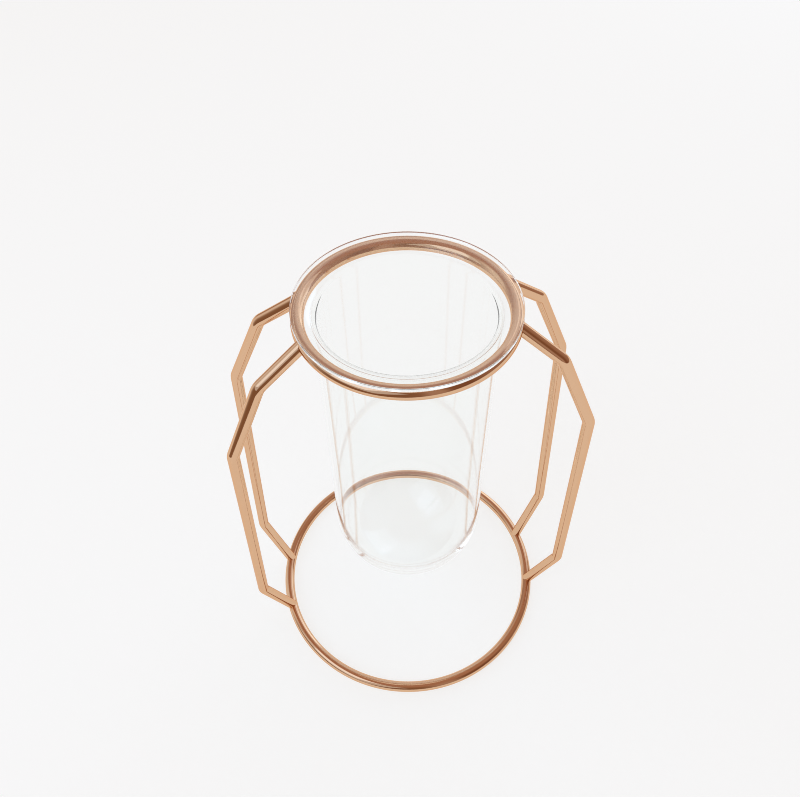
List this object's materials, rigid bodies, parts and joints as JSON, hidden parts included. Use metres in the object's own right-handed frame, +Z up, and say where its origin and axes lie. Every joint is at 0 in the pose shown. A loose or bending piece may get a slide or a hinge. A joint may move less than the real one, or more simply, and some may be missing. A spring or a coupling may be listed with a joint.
{
  "type": "test tube vase",
  "caption": "Round-bottomed clear glass tube hung by its flat lip in a polished rose-gold wire stand with bent ribs between two rings.",
  "frame": {"origin": "on the table, on the tube's axis: the centre of the base ring's underside", "axes": "+Z up along the tube; +X across the left and right pairs of ribs, towards the right pair; +Y to the back pair"},
  "size_m": [0.1246, 0.109, 0.1592],
  "materials": {
    "clear_glass": "clear, fire-polished",
    "rose_gold_wire": "mirror polished, rose-gold plated"
  },
  "bodies": {
    "stand": {"top_ring": "rose_gold_wire", "base_ring": "rose_gold_wire", "front_left_rib": "rose_gold_wire", "back_left_rib": "rose_gold_wire", "front_right_rib": "rose_gold_wire", "back_right_rib": "rose_gold_wire"},
    "tube": {"glass_tube": "clear_glass"}
  },
  "joints": [
    {"name": "tube_lift", "type": "slide", "parent": "stand", "child": "tube", "axis": [0, 0, 1], "range_m": [0, 0.135]}
  ]
}
